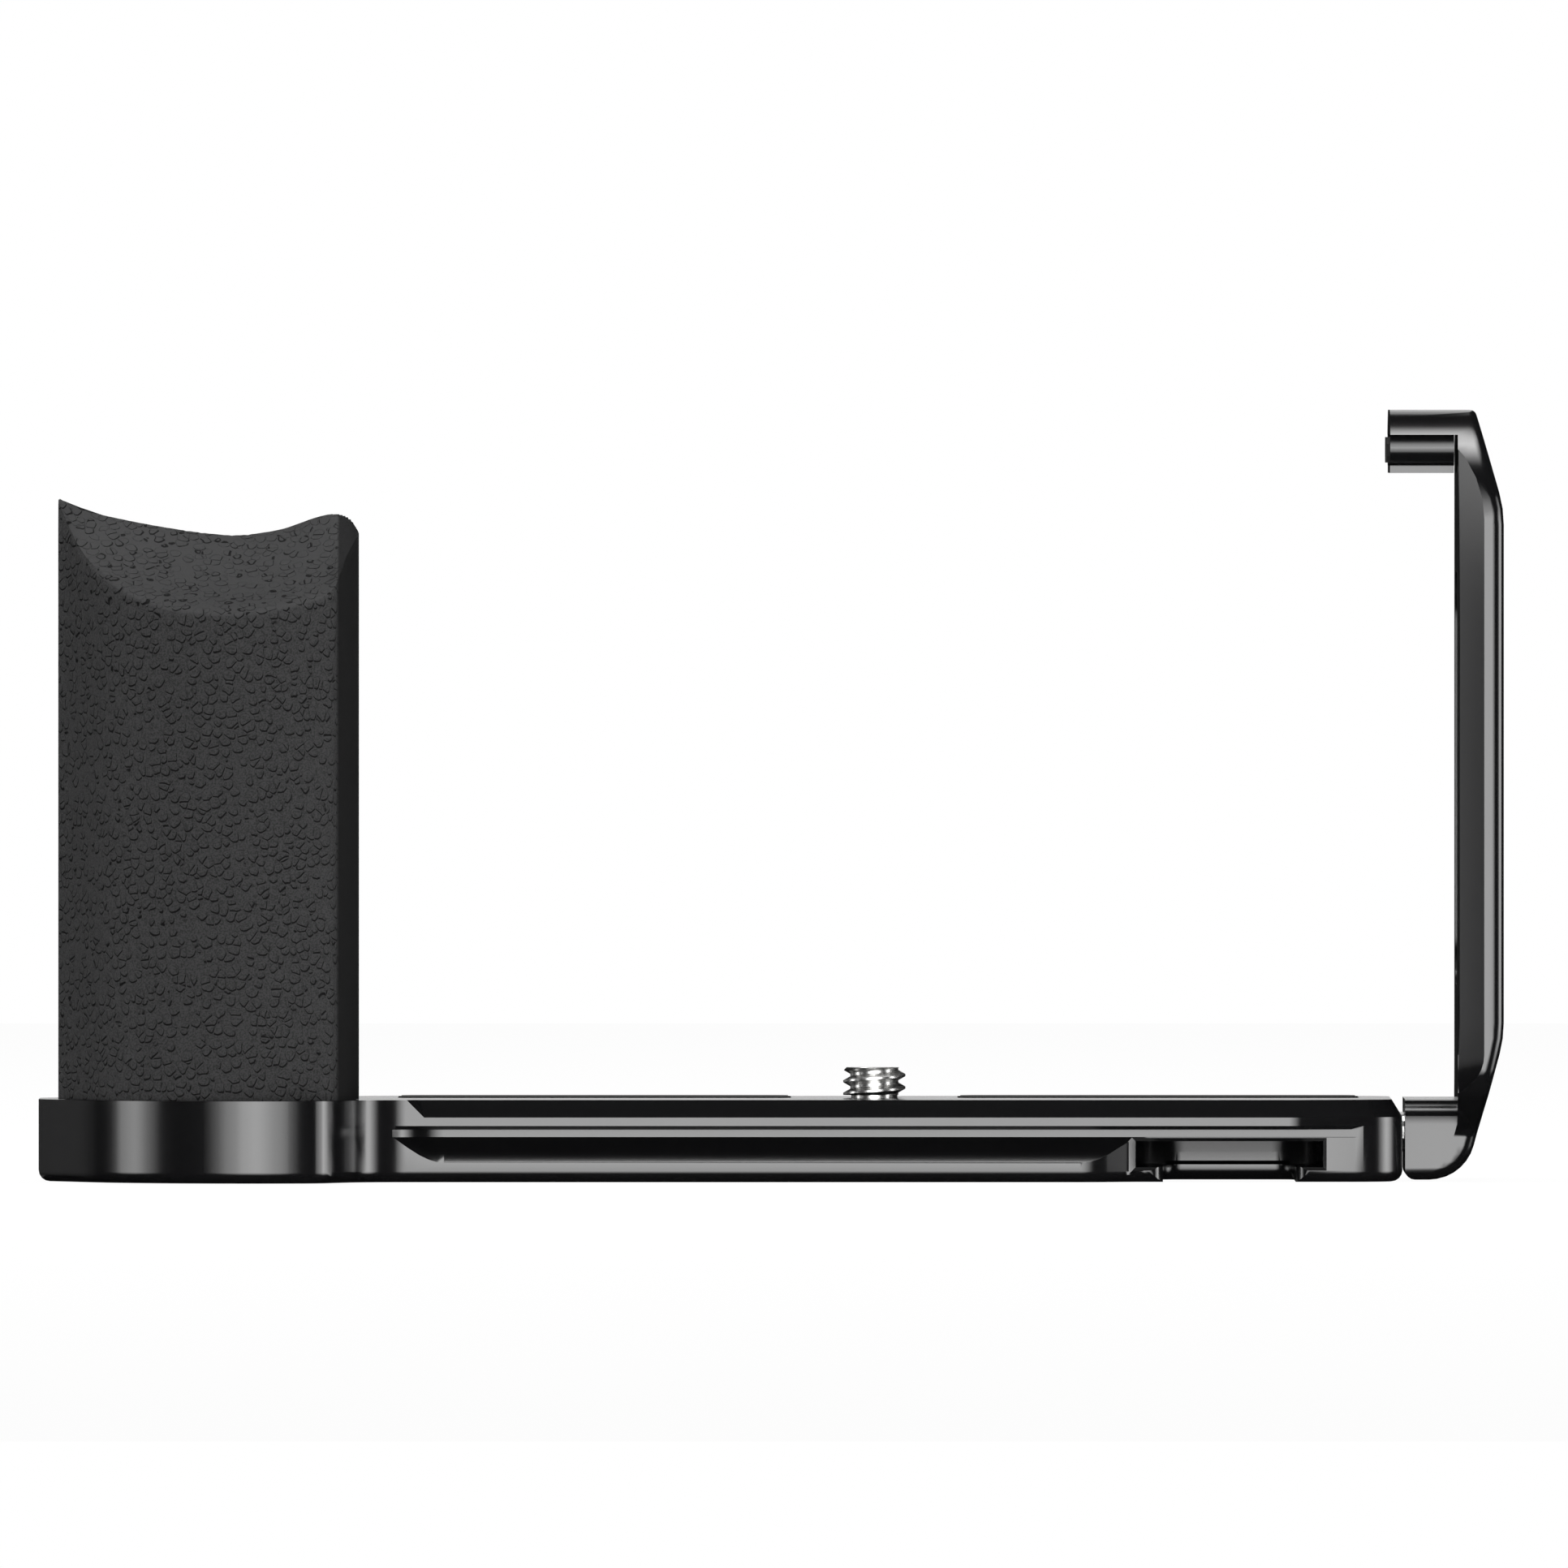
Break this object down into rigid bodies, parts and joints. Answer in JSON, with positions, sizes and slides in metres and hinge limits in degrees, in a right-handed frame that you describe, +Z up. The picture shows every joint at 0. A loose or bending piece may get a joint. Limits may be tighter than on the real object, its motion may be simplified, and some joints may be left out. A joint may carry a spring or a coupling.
{
  "type": "camera l-bracket",
  "caption": "Camera L-bracket: dovetail base plate with an accessory shoe and a moulded hand grip, and a sliding dovetail side plate that hooks over the camera's top.",
  "frame": {"origin": "on the flat underside of the base plate, at the middle of the bracket's length, on the dovetail rail's centre line", "axes": "+X from the grip to the side plate, +Z up out of the deck towards the camera, -Y to the side that the grip and the accessory shoe face"},
  "size_m": [0.149, 0.0494, 0.0785],
  "materials": {
    "anodised": "satin black anodised aluminium",
    "steel": "bright stainless steel",
    "dark_steel": "black oxide steel",
    "grip_rubber": "pebbled matt rubber",
    "pad_rubber": "matt rubber"
  },
  "bodies": {
    "base": {"base_plate": "anodised", "deck_pad_left": "pad_rubber", "deck_pad_right": "pad_rubber", "grip_sleeve": "grip_rubber", "grip_core": "anodised", "grip_screw_left": "dark_steel", "grip_screw_right": "dark_steel", "grip_dowel_left": "dark_steel", "grip_dowel_right": "dark_steel"},
    "side": {"side_plate": "anodised", "hook_pad": "pad_rubber", "guide_rod_front": "steel", "guide_rod_rear": "steel", "rod_grub_front": "dark_steel", "rod_grub_rear": "dark_steel"},
    "washer": {"screw_washer": "dark_steel"},
    "screw": {"camera_screw": "steel"},
    "lock_front": {"lock_screw_front": "dark_steel"},
    "lock_rear": {"lock_screw_rear": "dark_steel"}
  },
  "joints": [
    {"name": "side_plate_slide", "type": "slide", "parent": "base", "child": "side", "axis": [1, 0, 0], "range_m": [0, 0.015]},
    {"name": "camera_screw_lift", "type": "slide", "parent": "base", "child": "washer", "axis": [0, 0, 1], "range_m": [0, 0.0015]},
    {"name": "camera_screw_turn", "type": "hinge", "parent": "washer", "child": "screw", "pos_m": [0.01056, 0, 0.0026], "axis": [0, 0, 1], "continuous": true},
    {"name": "lock_screw_front_turn", "type": "hinge", "parent": "base", "child": "lock_front", "pos_m": [0.0603, 0.006, 0.0003], "axis": [0, 0, 1], "continuous": true},
    {"name": "lock_screw_rear_turn", "type": "hinge", "parent": "base", "child": "lock_rear", "pos_m": [0.0603, 0.013, 0.0003], "axis": [0, 0, 1], "continuous": true}
  ]
}
